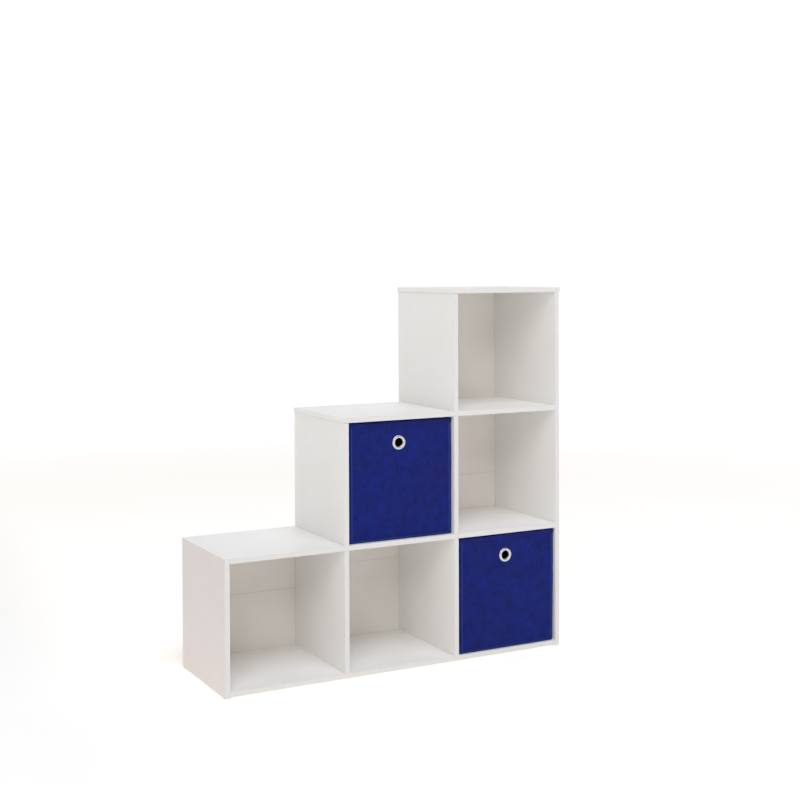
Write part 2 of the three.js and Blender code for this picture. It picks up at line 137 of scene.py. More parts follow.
# a finish is a material with one Principled shader
class Finish(Bench):
    def __init__(self, name):
        self.material = bpy.data.materials.new(name)
        self.material.use_nodes = True
        super().__init__(self.material.node_tree)
        self.tree.nodes.clear()
        surface = self.node("ShaderNodeBsdfPrincipled")
        self.shader = surface.socket.node
        self.node("ShaderNodeOutputMaterial", None, {"Surface": surface})
        self.place = self.node("ShaderNodeTexCoord", None, None, "Object")
        self.facing = self.node("ShaderNodeTexCoord", None, None, "Normal")

    # so many grains in a metre, or stretched by a scale along each axis
    def noise(self, scale, detail=2.0, roughness=0.5, distortion=0.0, stretch=None):
        place = self.place
        if stretch:
            place = self.node("ShaderNodeMapping", None, {"Vector": place, "Scale": stretch})
        values = {
            "Vector": place, "Scale": scale, "Detail": detail,
            "Roughness": roughness, "Distortion": distortion,
        }
        return self.node("ShaderNodeTexNoise", None, values)

    def bump(self, height, strength, distance):
        values = {"Height": height, "Strength": strength, "Distance": distance}
        return self.node("ShaderNodeBump", None, values)

    def set(self, **inputs):
        for key, value in inputs.items():
            self.feed(self.shader.inputs[shaderSockets[key]], value)
        return self.material


shaderSockets = {
    "colour": "Base Color", "roughness": "Roughness", "metal": "Metallic", "normal": "Normal",
    "specular": "Specular IOR Level", "sheen": "Sheen Weight",
    "sheenRoughness": "Sheen Roughness", "sheenTint": "Sheen Tint",
    "glow": "Emission Color", "glowStrength": "Emission Strength",
}


def rgb(red, green, blue):
    return (red, green, blue, 1.0)


def addObject(name, data):
    item = bpy.data.objects.new(name, data)
    scene.collection.objects.link(item)
    return item


def plainMesh(name, points, faces, edges=()):
    mesh = bpy.data.meshes.new(name)
    mesh.from_pydata(points, edges, faces)
    return mesh


# the camera stands where the photograph's lines of perspective say
shot = {
    "place": (-1.5487, -3.0658, 0.9799),
    "turn": 28.61,  # degrees to the right of straight on
    "tip": 1.11,  # degrees down
    "roll": -0.19,
    "focal": 1366.2,  # pixels
    "axis": (417.9, 294.1),  # where the lens axis meets the photograph, pixels
    "side": 800,  # pixels
    "sensor": 36.0,
    "clip": (0.05, 200),
}


def makeCamera():
    lens = bpy.data.cameras.new("camera")
    lens.sensor_width = shot["sensor"]
    lens.lens = shot["focal"] * shot["sensor"] / shot["side"]
    lens.shift_x = 0.5 - shot["axis"][0] / shot["side"]
    lens.shift_y = shot["axis"][1] / shot["side"] - 0.5
    lens.clip_start, lens.clip_end = shot["clip"]
    aim = Euler((math.radians(90 - shot["tip"]), 0, math.radians(-shot["turn"]))).to_matrix()
    aim = aim @ Matrix.Rotation(math.radians(shot["roll"]), 3, "Z")
    camera = addObject("camera", lens)
    camera.matrix_world = Matrix.Translation(shot["place"]) @ aim.to_4x4()
    scene.camera = camera


studio = {
    "floorSide": 60.0,
    "floorColour": rgb(0.94, 0.928, 0.905),
    "frontGlow": rgb(0.39, 0.358, 0.33),  # light of the floor's own: before the object,
    "sideGlow": rgb(0.20, 0.19, 0.18),  # to the left of it,
    "farGlow": rgb(0.80, 0.80, 0.82),  # and far from it
    "sideFrom": 0.3,  # metres from the middle, where one glow gives way to the next
    "sideTo": 0.9,
    "farFrom": 2.5,
    "farTo": 8.0,
    "skyLight": 0.2,
    "viewGamma": 1.12,
    "skyLobes": [  # towards, begins, is full, colour; what begins and is full are cosines
        ((0.479, 0.878, 0.1), 0.55, 0.88, (0.85, 0.85, 0.85)),
        ((-1, 0.15, 0.5), 0.3, 0.95, (0.222, 0.214, 0.214)),
    ],
    "aim": (0, 0, 0.45),
    "reach": 9.5,
    "softboxes": [  # degrees round from straight on, degrees up, side, watts, colour
        (-29, 37, 4.75, 347.0, (0.985, 0.993, 1.005)),
        (0, 60, 4.75, 318.0, (0.85, 0.935, 1.06)),
    ],
}


def makeFloor():
    half = studio["floorSide"] / 2
    corners = [(-half, -half, 0), (half, -half, 0), (half, half, 0), (-half, half, 0)]
    floor = addObject("floor", plainMesh("floor", corners, [(0, 1, 2, 3)]))
    paint = Finish("floorPaint")
    away = paint.vector("LENGTH", {0: paint.place}, "Value")
    x, _, _ = paint.parts(paint.place)
    side = (0 - x).between(studio["sideFrom"], studio["sideTo"])
    glow = paint.mix(side, studio["frontGlow"], studio["sideGlow"])
    glow = paint.mix(away.between(studio["farFrom"], studio["farTo"]), glow, studio["farGlow"])
    colour = studio["floorColour"]
    floor.data.materials.append(
        paint.set(colour=colour, roughness=0.9, specular=0.0, glow=glow, glowStrength=1.0)
    )


def makeSky():
    world = bpy.data.worlds.new("studioSky")
    world.use_nodes = True
    scene.world = world
    world.node_tree.nodes.clear()
    bench = Bench(world.node_tree)
    ray = bench.node("ShaderNodeTexCoord", None, None, "Generated")
    even = {axis: studio["skyLight"] for axis in range(3)}
    light = bench.node("ShaderNodeCombineXYZ", None, even)
    for towards, begins, full, colour in studio["skyLobes"]:
        along = Vector(towards).normalized()
        lean = bench.vector("DOT_PRODUCT", {0: ray, 1: along}, "Value")
        tinted = bench.vector("SCALE", {0: colour, "Scale": lean.between(begins, full)})
        light = bench.vector("ADD", {0: light, 1: tinted})
    sky = bench.node("ShaderNodeBackground", None, {"Color": light, "Strength": 1.0})
    bench.node("ShaderNodeOutputWorld", None, {"Surface": sky})


def makeSoftboxes():
    aim = Vector(studio["aim"])
    for number, (bearing, up, side, watts, colour) in enumerate(studio["softboxes"]):
        turn, rise = math.radians(bearing), math.radians(up)
        level = math.cos(rise)
        way = Vector((math.sin(turn) * level, -math.cos(turn) * level, math.sin(rise)))
        light = bpy.data.lights.new(f"softbox{number}", "AREA")
        light.shape = "SQUARE"
        light.size = side
        light.energy = watts
        light.color = colour
        lamp = addObject(light.name, light)
        lamp.location = aim + way * studio["reach"]
        lamp.rotation_euler = (-way).to_track_quat("-Z", "Y").to_euler()


scene.view_settings.view_transform = "Standard"
scene.view_settings.gamma = studio["viewGamma"]
makeCamera()
makeFloor()
makeSky()
makeSoftboxes()
print("studio ready")


# white board with a plastic band on its front edge
melamine = {
    "white": rgb(0.88, 0.862, 0.832),
    "warm": rgb(0.862, 0.838, 0.80),
    "sideShade": rgb(0.775, 0.702, 0.672),  # painted shade: the low outer side's left-facing face darker and pinker
    "sideShadeWarm": rgb(0.762, 0.684, 0.652),
    # the plastic band's own grey, made darker still as painted shade on the front edges
    "shadedBand": rgb(0.682, 0.662, 0.638),
    "seam": rgb(0.42, 0.39, 0.35),
    "scuff": rgb(0.55, 0.51, 0.46),
    # painted shadow under an overhanging slab and beside the back board
    "jointShadow": rgb(0.30, 0.25, 0.19),
    "chip": rgb(0.42, 0.29, 0.17),
    "chipPale": rgb(0.66, 0.52, 0.35),
    "bandDepth": 0.6 * mm,
    "jointShadowWidth": 0.9 * mm,  # painted shadow: a dark line this wide on a face where another board meets it
    "seamHalf": 0.09 * mm,  # behind the band
    "rearSkin": 0.2 * mm,  # bare edges reach this far in from the rear
    "footRise": 3.2 * mm,  # and from the lowest edge up
    "flakes": 520.0,  # in a metre
}


# chipboard where the edge isn't banded: the rear edges, and under the two sides
def rawEdge(paint):
    _, y, z = paint.parts(paint.place)
    _, facingY, facingZ = paint.parts(paint.facing)
    rear = (facingY > squareTo) * (y > rearY - melamine["rearSkin"])
    foot = (facingZ < -squareTo) * (z < melamine["footRise"])
    return rear.larger(foot)


def chipboard(paint):
    values = {"Vector": paint.place, "Scale": melamine["flakes"], "Randomness": 1.0}
    flakes = paint.node("ShaderNodeTexVoronoi", None, values, "Color")
    tone, _, _ = paint.parts(flakes)
    return paint.mix(tone, melamine["chip"], melamine["chipPale"])


# an axis along which another board meets the faces, and its place there, where a painted shadow
# line runs
def whiteMelamine(name, shadedSide=False, jointShadow=None):
    paint = Finish(name)
    clouds = paint.noise(7.0, 3.0, 0.55)
    pearl = paint.noise(820.0, 2.0, 0.6)
    smudge = paint.noise(23.0, 4.0, 0.6, 0.4)
    ease = paint.noise(160.0, 3.0)
    x, y, z = paint.parts(paint.facing)
    flat = abs(x).larger(abs(y)).larger(abs(z)) > squareTo
    cloudy = clouds.between(0.3, 0.75)
    face = paint.mix(cloudy, melamine["white"], melamine["warm"])
    # left-facing faces take a darker, pinker colour, as painted shade
    if shadedSide:
        sideShade = paint.mix(cloudy, melamine["sideShade"], melamine["sideShadeWarm"])
        face = paint.mix(x < -squareTo, face, sideShade)
    scuffed = (1 - flat) * ease.between(0.60, 0.72) * 0.5
    face = paint.mix(scuffed, face, melamine["scuff"])
    _, depth, _ = paint.parts(paint.place)
    # the front edges take the band's colour, which carries painted shade
    face = paint.mix(depth < frontY + melamine["bandDepth"], face, melamine["shadedBand"])
    fromSeam = abs(depth - (frontY + melamine["bandDepth"]))
    half = melamine["seamHalf"]
    seam = (1 - fromSeam.between(half * 0.5, half)) * flat * 0.5
    face = paint.mix(seam, face, melamine["seam"])
    # painted shadow: a dark line on flat faces just short of where the other board meets them
    if jointShadow:
        axis, end = jointShadow
        begins = end - melamine["jointShadowWidth"] * (0.7 + ease * 0.6)
        line = (paint.parts(paint.place)[axis] > begins) * flat
        face = paint.mix(line * 0.85, face, melamine["jointShadow"])
    raw = rawEdge(paint)
    face = paint.mix(raw, face, chipboard(paint))
    shine = 0.36 + smudge.between(0.35, 0.75) * 0.12 + pearl * 0.04 + raw * 0.4
    relief = paint.bump(pearl + smudge * 0.6 + raw * ease * 6, 0.08, 0.25 * mm)
    return paint.set(colour=face, roughness=shine, normal=relief, specular=0.45)


hardboard = {
    "face": rgb(0.868, 0.828, 0.772),
    "faceWarm": rgb(0.848, 0.802, 0.742),
    "fibre": rgb(0.30, 0.175, 0.085),
    "fibrePale": rgb(0.44, 0.285, 0.155),
    # lacquer in the fold, darker than the face as painted shade in the groove
    "fold": rgb(0.73, 0.69, 0.64),
    "foldShadeWarm": rgb(0.69, 0.65, 0.60),
    "meshPitch": 1.5 * mm,  # the screen that the sheet was pressed on
}


# lacquered on the front and in the fold, raw pressed fibre on the rear
def whiteHardboard(name, pale, warm):
    paint = Finish(name)
    x, _, z = paint.parts(paint.place)
    _, facingY, _ = paint.parts(paint.facing)
    front = facingY < 0.5
    clouds = paint.noise(9.0, 3.0)
    strands = paint.noise(900.0, 5.0, 0.7)
    lumps = paint.noise(60.0, 4.0, 0.6)
    lacquer = paint.mix(clouds.between(0.3, 0.7), hardboard[pale], hardboard[warm])
    tone = (strands * 0.7 + lumps * 0.5).between(0.35, 0.85)
    fibre = paint.mix(tone, hardboard["fibre"], hardboard["fibrePale"])
    turns = 2 * math.pi / hardboard["meshPitch"]
    screen = (x * turns).sine() * (z * turns).sine()
    height = front * strands * 0.25 + (1 - front) * (screen * 0.35 + strands)
    shine = 0.78 - front * 0.28 + lumps * 0.06
    return paint.set(
        colour=paint.mix(front, fibre, lacquer),
        roughness=shine,
        normal=paint.bump(height, 0.25, 0.2 * mm),
        specular=0.35,
    )


tapeLook = {
    "paper": rgb(0.62, 0.55, 0.43),
    "paperDark": rgb(0.53, 0.46, 0.35),
    "fold": rgb(0.80, 0.77, 0.73),  # its front, which shows in the fold between two leaves
}


def joiningTape():
    paint = Finish("joiningTape")
    crinkle = paint.noise(1.0, 4.0, 0.6, stretch=(30, 30, 420))
    fibres = paint.noise(700.0, 4.0, 0.7)
    tone = (crinkle * 0.6 + fibres * 0.4).between(0.3, 0.7)
    _, facingY, _ = paint.parts(paint.facing)
    paper = paint.mix(tone, tapeLook["paperDark"], tapeLook["paper"])
    return paint.set(
        colour=paint.mix(facingY < -0.5, paper, tapeLook["fold"]),
        roughness=0.72 + crinkle * 0.15,
        normal=paint.bump(crinkle + fibres * 0.3, 0.35, 0.15 * mm),
        specular=0.3,
    )


zincLook = {"bright": rgb(0.66, 0.665, 0.67), "dull": rgb(0.44, 0.45, 0.46)}


def castZinc():
    paint = Finish("castZinc")
    cast = paint.noise(1400.0, 4.0, 0.65)
    cloud = paint.noise(220.0, 3.0)
    return paint.set(
        colour=paint.mix(cloud.between(0.35, 0.7), zincLook["bright"], zincLook["dull"]),
        metal=1.0,
        roughness=0.34 + cast * 0.16 + cloud * 0.08,
        normal=paint.bump(cast, 0.3, 0.1 * mm),
    )


glideLook = {"plastic": rgb(0.34, 0.325, 0.30), "rubbed": rgb(0.46, 0.44, 0.41)}


def glidePlastic():
    paint = Finish("glidePlastic")
    grain = paint.noise(1100.0, 3.0)
    rub = paint.noise(300.0, 4.0, 0.6)
    return paint.set(
        colour=paint.mix(rub.between(0.45, 0.7), glideLook["plastic"], glideLook["rubbed"]),
        roughness=0.42 + grain * 0.2,
        normal=paint.bump(grain + rub, 0.2, 0.1 * mm),
    )


def dressCarcass():
    finishes = {
        "white_panel": whiteMelamine("whiteMelamine"),
        "white_back_board": whiteHardboard("whiteHardboard", "face", "faceWarm"),
        "joining_tape": joiningTape(),
        "zinc_fitting": castZinc(),
        "glide_plastic": glidePlastic(),
    }
    for part in frame["record"]["subparts"]:
        if part["material_slot"] in finishes:
            mesh = nodes[part["node"]].data
            mesh.materials.clear()
            mesh.materials.append(finishes[part["material_slot"]])
    # the low outer side, with painted shade on its left-facing face
    nodes["left_side"].data.materials[0] = whiteMelamine("rosyMelamine", shadedSide=True)
    # the dividers and the right side get a painted shadow line beside the back board, the steps one
    # under each slab
    innerMelamine = whiteMelamine("innerMelamine", jointShadow=(1, rearY))
    for name in ("lower_left_divider", "lower_right_divider", "middle_divider", "right_side"):
        nodes[name].data.materials[0] = innerMelamine
    for name, slab in (("step_side", "upper_shelf"), ("tower_side", "top_panel")):
        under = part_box(slab)[0].z
        nodes[name].data.materials[0] = whiteMelamine(f"{slab}SideMelamine", jointShadow=(2, under))


dressCarcass()
print("carcass dressed")


# a node tree with a geometry in and out, and a named number for each size
def sizedTree(name, sizes):
    tree = bpy.data.node_groups.new(name, "GeometryNodeTree")
    tree.interface.new_socket("Geometry", in_out="INPUT", socket_type="NodeSocketGeometry")
    for label in sizes:
        tree.interface.new_socket(label, in_out="INPUT", socket_type="NodeSocketFloat")
    tree.interface.new_socket("Material", in_out="INPUT", socket_type="NodeSocketMaterial")
    tree.interface.new_socket("Geometry", in_out="OUTPUT", socket_type="NodeSocketGeometry")
    bench = Bench(tree)
    entry = bench.node("NodeGroupInput").socket.node
    ports = {socket.name: Wire(bench, socket) for socket in entry.outputs if socket.name}
    return bench, ports


# a shape on every point, turned so that X runs along the path and Z out of the surface
def placeAlong(bench, points, shape, tangent=None):
    align = "FunctionNodeAlignRotationToVector"
    outward = bench.node(
        "GeometryNodeInputNamedAttribute", {"data_type": "FLOAT_VECTOR"}, {"Name": "outward"}
    )
    turn = bench.node(align, {"axis": "Z"}, {"Vector": outward})
    if tangent is not None:
        values = {"Rotation": turn, "Vector": tangent}
        turn = bench.node(align, {"axis": "X", "pivot_axis": "Z"}, values)
    values = {"Points": points, "Instance": shape, "Rotation": turn}
    return bench.node("GeometryNodeInstanceOnPoints", None, values)


# points at an even pitch along the guide lines
def spacedPoints(bench, ports):
    path = bench.node("GeometryNodeMeshToCurve", None, {"Mesh": ports["Geometry"]})
    values = {"Curve": path, "Length": ports["pitch"]}
    return bench.node("GeometryNodeResampleCurve", {"mode": "LENGTH"}, values)


def endTree(bench, instances, material):
    solid = bench.node("GeometryNodeRealizeInstances", None, {"Geometry": instances})
    shown = bench.node("GeometryNodeSetMaterial", None, {"Geometry": solid, "Material": material})
    bench.node("NodeGroupOutput", None, {"Geometry": shown})
    return bench.tree


# each stitch is an arc of thread whose two ends dip into the cloth
def stitchTree(sizes):
    bench, ports = sizedTree("stitchRow", sizes)
    spaced = spacedPoints(bench, ports)
    half = ports["length"] * 0.5
    lift = ports["rise"]
    spots = []
    for side, rise in ((-1, -0.6), (1, -0.6), (-0.5, 1.5), (0.5, 1.5)):
        values = {"X": half * side, "Z": lift * rise}
        spots.append(bench.node("ShaderNodeCombineXYZ", None, values))
    start, end, startHandle, endHandle = spots
    arc = bench.node(
        "GeometryNodeCurvePrimitiveBezierSegment", None,
        {
            "Resolution": 5, "Start": start, "Start Handle": startHandle,
            "End Handle": endHandle, "End": end,
        },
    )
    values = {"Resolution": 6, "Radius": ports["thread"]}
    section = bench.node("GeometryNodeCurvePrimitiveCircle", None, values)
    values = {"Curve": arc, "Profile Curve": section, "Fill Caps": True}
    shape = bench.node("GeometryNodeCurveToMesh", None, values)
    tangent = bench.node("GeometryNodeInputTangent")
    return endTree(bench, placeAlong(bench, spaced, shape, tangent), ports["Material"])


# a low disc whose top is a little narrower than its rim
def lowDisc(bench, ports, sides):
    values = {
        "Vertices": sides, "Radius Bottom": ports["rim"],
        "Radius Top": ports["crown"], "Depth": ports["rise"],
    }
    return bench.node("GeometryNodeMeshCone", None, values)


def nailTree(sizes):
    bench, ports = sizedTree("nailRow", sizes)
    spaced = spacedPoints(bench, ports)
    head = lowDisc(bench, ports, 20)
    return endTree(bench, placeAlong(bench, spaced, head), ports["Material"])


def capTree(sizes):
    bench, ports = sizedTree("fittingCap", sizes)
    points = bench.node("GeometryNodeMeshToPoints", None, {"Mesh": ports["Geometry"]})
    disc = lowDisc(bench, ports, 48)
    return endTree(bench, placeAlong(bench, points, disc), ports["Material"])


# lines of points in a mesh, each point with the way that the surface faces there
def guideMesh(name, lines):
    points, edges, outward = [], [], []
    for line in lines:
        start = len(points)
        points += [point for point, _ in line]
        outward += [direction for _, direction in line]
        edges += [(start + step, start + step + 1) for step in range(len(line) - 1)]
    mesh = plainMesh(name, points, [], edges)
    attribute = mesh.attributes.new("outward", "FLOAT_VECTOR", "POINT")
    attribute.data.foreach_set("vector", [value for direction in outward for value in direction])
    return mesh


# doubles merged, faces turned outwards
def outwardMesh(mesh):
    shape = bmesh.new()
    shape.from_mesh(mesh)
    bmesh.ops.remove_doubles(shape, verts=shape.verts, dist=1e-7)
    bmesh.ops.recalc_face_normals(shape, faces=shape.faces)
    shape.to_mesh(mesh)
    shape.free()
    return mesh


# what an object's modifiers make of it
def shownMesh(item):
    bpy.context.view_layer.update()
    seen = item.evaluated_get(bpy.context.evaluated_depsgraph_get())
    return bpy.data.meshes.new_from_object(seen)


# runs a tree over guide lines and keeps the result as a plain mesh
def makeFromTree(name, tree, sizes, lines, material, body):
    guide = addObject(name, guideMesh(name + "Guide", lines))
    modifier = guide.modifiers.new("rule", "NODES")
    modifier.node_group = tree
    given = {**sizes, "Material": material}
    for socket in tree.interface.items_tree:
        if socket.in_out == "INPUT" and socket.name in given:
            modifier[socket.identifier] = given[socket.name]
    mesh = outwardMesh(shownMesh(guide))
    bpy.data.objects.remove(guide)
    return addPiece(name, mesh, material, body)


# a finished piece: it rides on a body and may stand for CAD nodes
def addPiece(name, mesh, material, body, stands=(), smooth=True):
    mesh.materials.clear()
    mesh.materials.append(material)
    if smooth:
        mesh.shade_smooth()
    piece = addObject(name, mesh)
    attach(piece, body)
    if stands:
        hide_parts(*stands)
    return piece


# the leaves of each sheet of the back, from the lowest up
backSheets = (
    ("step_back_1", "step_back_2"),
    ("main_back_1", "main_back_2", "main_back_3"),
    ("tower_back",),
)
nail = {"pitch": 92 * mm, "rim": 2.1 * mm, "crown": 1.5 * mm, "rise": 0.26 * mm}
nailInset = 5 * mm  # from the edge of a back board
steelLook = {"bright": rgb(0.56, 0.55, 0.53), "rusty": rgb(0.33, 0.30, 0.27)}


def nailSteel():
    paint = Finish("nailSteel")
    rust = paint.noise(500.0, 4.0, 0.6)
    return paint.set(
        colour=paint.mix(rust.between(0.45, 0.75), steelLook["bright"], steelLook["rusty"]),
        metal=1.0,
        roughness=0.36 + rust * 0.2,
        normal=paint.bump(rust, 0.2, 0.1 * mm),
    )


# the line of nails beside an edge of a board
def nailLine(start, end):
    steps = max(1, round((Vector(end) - Vector(start)).length / nail["pitch"]))
    spots = [Vector(start).lerp(Vector(end), step / steps) for step in range(steps + 1)]
    return [(spot, (0, 1, 0)) for spot in spots]


def makeNails():
    lines = []
    half = nail["pitch"] / 2
    for sheet in backSheets:
        corner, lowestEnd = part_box(sheet[0])
        face = lowestEnd.y
        left, right = corner.x + nailInset, lowestEnd.x - nailInset
        low, high = corner.z + nailInset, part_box(sheet[-1])[1].z - nailInset
        for x in (left, right):
            lines.append(nailLine((x, face, low), (x, face, high)))
        for z in (low, high):
            lines.append(nailLine((left + half, face, z), (right - half, face, z)))
    tree = nailTree(nail)
    makeFromTree("back_nails", tree, nail, lines, nailSteel(), "carcass")


makeNails()


# lacquered film in the fold between two leaves of a back, measured from the leaves' front
foldFilm = {
    "lip": 0.12 * mm,
    "groove": 0.7 * mm,
    "thick": 1.2 * mm,
    "short": 0.5 * mm,  # of the leaves' two ends
}


def makeFolds():
    points, faces = [], []
    folds = [pair for sheet in backSheets for pair in zip(sheet, sheet[1:])]
    for below, above in folds:
        low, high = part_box(below)
        foot, head = high.z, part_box(above)[0].z
        lip, groove, rear = (low.y + foldFilm[size] for size in ("lip", "groove", "thick"))
        section = [
            (lip, foot), (groove, (foot + head) / 2), (lip, head), (rear, head), (rear, foot),
        ]
        start, count = len(points), len(section)
        for x in (low.x + foldFilm["short"], high.x - foldFilm["short"]):
            points += [Vector((x, y, z)) for y, z in section]
        faces += [tuple(range(start + end, start + end + count)) for end in (0, count)]
        for step in range(count):
            after = (step + 1) % count
            faces.append((start + step, start + after, start + count + after, start + count + step))
    mesh = outwardMesh(plainMesh("fold_film", points, faces))
    # the film's lacquer holds painted shade for the fold
    film = whiteHardboard("foldFilm", "fold", "foldShadeWarm")
    addPiece("fold_film", mesh, film, "carcass", smooth=False)


makeFolds()


# caps over the fittings that show from the front
cap = {"rim": 7.6 * mm, "crown": 7.45 * mm, "rise": 0.12 * mm}
capLook = {"white": rgb(0.875, 0.862, 0.838), "warm": rgb(0.862, 0.846, 0.818)}
cappedPanels = ("step_side", "tower_side", "right_side")


def capPlastic():
    paint = Finish("capPlastic")
    grain = paint.noise(900.0, 3.0)
    return paint.set(
        colour=paint.mix(grain.between(0.3, 0.8), capLook["white"], capLook["warm"]),
        roughness=0.5 + grain * 0.1,
        normal=paint.bump(grain, 0.12, 0.1 * mm),
    )


def makeCaps():
    spots = []
    for panel in cappedPanels:
        panelLow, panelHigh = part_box(panel)
        leftward = panel == "right_side"
        face, out = (panelLow.x, (-1, 0, 0)) if leftward else (panelHigh.x, (1, 0, 0))
        for place in ("front", "rear"):
            low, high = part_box(f"cam_{panel}_{place}")
            radius = (high.y - low.y) / 2  # the node's box is taller, as its bolt points up
            spots.append([(Vector((face, (low.y + high.y) / 2, low.z + radius)), out)])
    tree = capTree(cap)
    makeFromTree("fitting_caps", tree, cap, spots, capPlastic(), "carcass")


makeCaps()
print("nails, folds and caps made")


cloth = {
    "navy": rgb(0.0019, 0.0040, 0.067),
    "royal": rgb(0.0016, 0.0115, 0.181),
    "violet": rgb(0.0085, 0.0050, 0.086),
    "lip": rgb(0.015, 0.048, 0.27),  # painted highlight: paler where the cloth stands out beside the seams
    "shade": rgb(0.002, 0.0025, 0.030),  # in the seams
    "gloss": rgb(0.35, 0.45, 1.0),  # of the fibres that stand out
    "point": 1.15 * mm,  # pitch of the pressed points
}


# pressed fibre cloth: clouds of thick and thin fibre, streaks, and a grid of pressed points
def pressedCloth():
    paint = Finish("pressedCloth")
    way = paint.node("ShaderNodeTexCoord", None, None, "UV")
    u, v, _ = paint.parts(way)
    seam = paint.node("ShaderNodeAttribute", {"attribute_name": "seam"}, None, "Fac")
    clouds = paint.noise(44.0, 4.0, 0.6, 0.5)
    streaks = paint.noise(1.0, 4.0, 0.65, 0.8, stretch=(215, 215, 120))
    drift = paint.noise(11.0, 3.0, 0.5)
    tone = (clouds * 0.5 + streaks * 0.5).between(0.30, 0.72)
    colour = paint.mix(tone, cloth["navy"], cloth["royal"])
    colour = paint.mix(drift.between(0.45, 0.8) * 0.5, colour, cloth["violet"])
    # the seam mark: paler beside a seam as painted highlight, darker in it as painted shade
    colour = paint.mix(seam.between(0.2, 0.9) * 0.75, colour, cloth["lip"])
    colour = paint.mix((0 - seam).between(0.2, 0.9) * 0.7, colour, cloth["shade"])
    turns = 2 * math.pi / cloth["point"]
    points = ((u * turns).sine() * (v * turns).sine()).between(0.35, 0.8)
    colour = paint.mix(points * 0.35, colour, cloth["navy"])
    height = streaks * 0.8 + clouds * 0.4 - points
    return paint.set(
        colour=colour,
        roughness=0.82 - points * 0.15,
        normal=paint.bump(height, 0.6, 0.4 * mm),
        specular=0.14,
        sheen=0.035,
        sheenRoughness=0.45,
        sheenTint=cloth["gloss"],
    )


threadLook = {"dark": rgb(0.006, 0.014, 0.17), "pale": rgb(0.012, 0.03, 0.30)}


def blueThread():
    paint = Finish("blueThread")
    twist = paint.noise(2200.0, 2.0)
    return paint.set(
        colour=paint.mix(twist, threadLook["dark"], threadLook["pale"]),
        roughness=0.6 + twist * 0.15,
        normal=paint.bump(twist, 0.5, 0.1 * mm),
        specular=0.3,
    )


cardLook = {"dark": rgb(0.28, 0.255, 0.22), "pale": rgb(0.44, 0.41, 0.36)}


def greyCard():
    paint = Finish("greyCard")
    fibres = paint.noise(650.0, 5.0, 0.7)
    blots = paint.noise(90.0, 3.0)
    tone = (fibres + blots * 0.5).between(0.4, 1.0)
    return paint.set(
        colour=paint.mix(tone, cardLook["dark"], cardLook["pale"]),
        roughness=0.85,
        normal=paint.bump(fibres, 0.3, 0.1 * mm),
        specular=0.2,
    )


plateLook = {
    "bright": rgb(0.67, 0.65, 0.665),
    "hazy": rgb(0.53, 0.51, 0.525),
    # dark inside the hole, as painted shade
    "barrel": rgb(0.075, 0.062, 0.055),
}


def nickelPlate():
    paint = Finish("nickelPlate")
    haze = paint.noise(260.0, 4.0, 0.6)
    hairs = paint.noise(1.0, 3.0, 0.6, stretch=(900, 900, 60))
    barrel = paint.node("ShaderNodeAttribute", {"attribute_name": "barrel"}, None, "Fac")
    plate = paint.mix(haze.between(0.4, 0.75), plateLook["bright"], plateLook["hazy"])
    # the barrel mark darkens the metal inside the hole as painted shade
    return paint.set(
        colour=paint.mix(barrel, plate, plateLook["barrel"]),
        metal=1.0,
        roughness=0.22 + haze * 0.12 + hairs * 0.06 + barrel * 0.3,
        normal=paint.bump(hairs, 0.05, 0.05 * mm),
    )


# what the sewing sets; the outline of a box comes from the frame
sewing = {
    "cornerRadius": 5.7 * mm,
    "foldRadius": 3 * mm,
    "cornerSeam": 4.4 * mm,  # pressed in this far from each upright corner
    "cornerRow": 6.2 * mm,  # stitches beside it, on a raised shoulder
    "bottomSeam": 7.6 * mm,  # above the bottom
    "creaseDepth": 0.58 * mm,
    "creaseHalf": 1.3 * mm,
    "lip": 0.35 * mm,  # how far the cloth outside the seam stands out
    "bow": 0.5 * mm,
    "bowRise": 60 * mm,  # from a seam to where the wall bows fully
    "bowFall": 80 * mm,  # below the hem
    "ripple": 0.28 * mm,
    "ripples": (21, 58),  # in a metre, large and small
    "smallShare": 0.45,  # how high the small ones are beside the large
    "liningRipples": 26,
    "heldRound": 26 * mm,  # the eyelet holds the cloth flat this far out,
    "heldHem": 9 * mm,  # the hem this far down
    "heldFloor": 12 * mm,  # and the floor's seam this far up
    "deepest": 0.62 * mm,  # the cloth goes no further in than this
    "wall": 4.2 * mm,
    "floor": 0.8 * mm,
    "liningCorner": 1.2 * mm,
    "pocketEase": 0.1 * mm,
    "pocketMouth": 4 * mm,  # a pocket stays open above its card, under the hem
    "boreRadius": 11.5 * mm,
    "boreRun": (-5 * mm, 12 * mm),  # through the front wall
}
bottomFoldShares = ((1, 0), (0.62, 0.07), (0.29, 0.29), (0.08, 0.62))  # inset and height
boxes = {
    "upper_box": {
        "body": "upper_box", "insert": "upper_insert", "seed": 3.0,
        "swell": 2.8 * mm,  # its right side stands out this far at the hem,
        "belly": 1.0 * mm,  # this much further below it,
        "lean": 0.8 * mm,  # and comes in this much towards the bottom
    },
    "lower_box": {
        "body": "lower_box", "insert": "lower_insert", "seed": 11.0,
        "swell": 2.8 * mm, "belly": 1.0 * mm, "lean": 3.6 * mm,
    },
}
walls = ("front", "back", "left", "right")
bellyFrom, bellyOver = 0.05, 0.2  # shares of a box's height, from its top down
fineSteps, fineStep = 5, 1.2 * mm  # of the cloth's net, beside each corner and above the bottom
sideSteps, arcSteps = 90, 10
outerRows, innerRows = 92, 46
leastRadius = 0.3 * mm


# no less than 0 and no more than 1
def clamped(value):
    return min(1, max(0, value))


